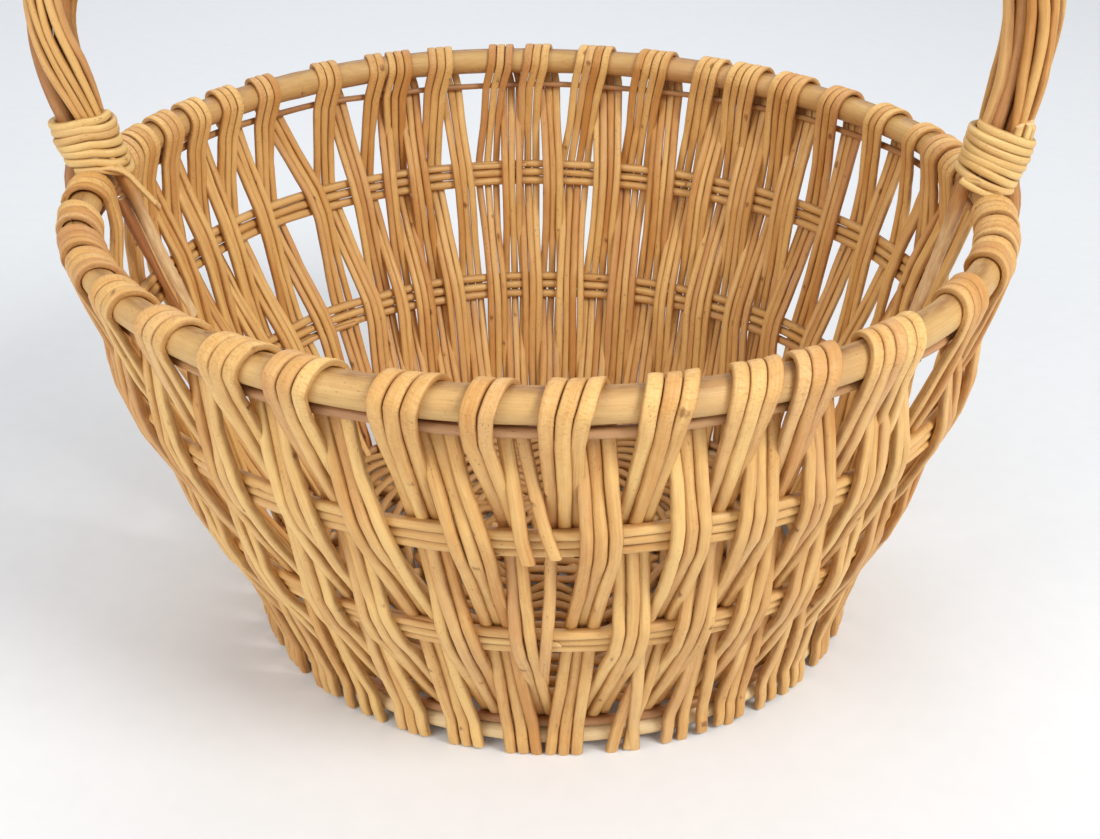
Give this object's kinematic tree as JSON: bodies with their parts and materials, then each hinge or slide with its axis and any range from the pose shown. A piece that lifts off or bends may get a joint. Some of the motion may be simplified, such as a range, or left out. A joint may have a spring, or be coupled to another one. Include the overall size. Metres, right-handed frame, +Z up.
{
  "type": "egg collection basket",
  "caption": "Round open-top willow basket with a flared wall of looped rods, woven bands, a woven base and a fixed bow handle wound with rods.",
  "frame": {"origin": "on the floor under the centre of the hoops, where the cut tips of the stakes stand", "axes": "+Z up, along the axis of the hoops; the bow handle spans X, from the left end at -X to the right end at +X; the side that faces the viewer is -Y"},
  "size_m": [0.3934, 0.3796, 0.4124],
  "materials": {
    "rim": "peeled pale willow, satin",
    "stakes": "buff willow rods, satin, honey tan",
    "bands": "buff willow rods, satin",
    "thin_rods": "darker brown willow rod, satin",
    "handle_sticks": "brown peeled willow stick, satin",
    "handle_wraps": "buff willow rods, satin",
    "bindings": "buff willow rod, satin, light",
    "base": "willow rods and sticks, dull"
  },
  "bodies": {
    "root": {"rim_hoop": "rim", "base_hoop": "rim", "stake_loop_01": "stakes", "stake_loop_02": "stakes", "stake_loop_03": "stakes", "stake_loop_04": "stakes", "stake_loop_05": "stakes", "stake_loop_06": "stakes", "stake_loop_07": "stakes", "stake_loop_08": "stakes", "stake_loop_09": "stakes", "stake_loop_10": "stakes", "stake_loop_11": "stakes", "stake_loop_12": "stakes", "stake_loop_13": "stakes", "stake_loop_14": "stakes", "stake_loop_15": "stakes", "stake_loop_16": "stakes", "stake_loop_17": "stakes", "stake_loop_18": "stakes", "stake_loop_19": "stakes", "stake_loop_20": "stakes", "stake_loop_21": "stakes", "stake_loop_22": "stakes", "stake_loop_23": "stakes", "stake_loop_24": "stakes", "stake_loop_25": "stakes", "stake_loop_26": "stakes", "stake_loop_27": "stakes", "stake_loop_28": "stakes", "stake_loop_29": "stakes", "stake_loop_30": "stakes", "stake_loop_31": "stakes", "stake_loop_32": "stakes", "stake_loop_33": "stakes", "stake_loop_34": "stakes", "stake_loop_35": "stakes", "stake_loop_36": "stakes", "stake_loop_37": "stakes", "stake_loop_38": "stakes", "stake_loop_39": "stakes", "stake_loop_40": "stakes", "stake_loop_41": "stakes", "stake_loop_42": "stakes", "upper_band_rod_1": "bands", "upper_band_rod_2": "bands", "upper_band_rod_3": "bands", "lower_band_rod_1": "bands", "lower_band_rod_2": "bands", "lower_band_rod_3": "bands", "under_rim_rod": "thin_rods", "base_ring_rod": "thin_rods", "handle_core_outer": "handle_sticks", "handle_core_inner": "handle_sticks", "handle_wrap_1": "handle_wraps", "handle_wrap_2": "handle_wraps", "handle_binding_left": "bindings", "handle_binding_right": "bindings", "base_sticks": "base", "base_weave": "base"}
  },
  "joints": []
}
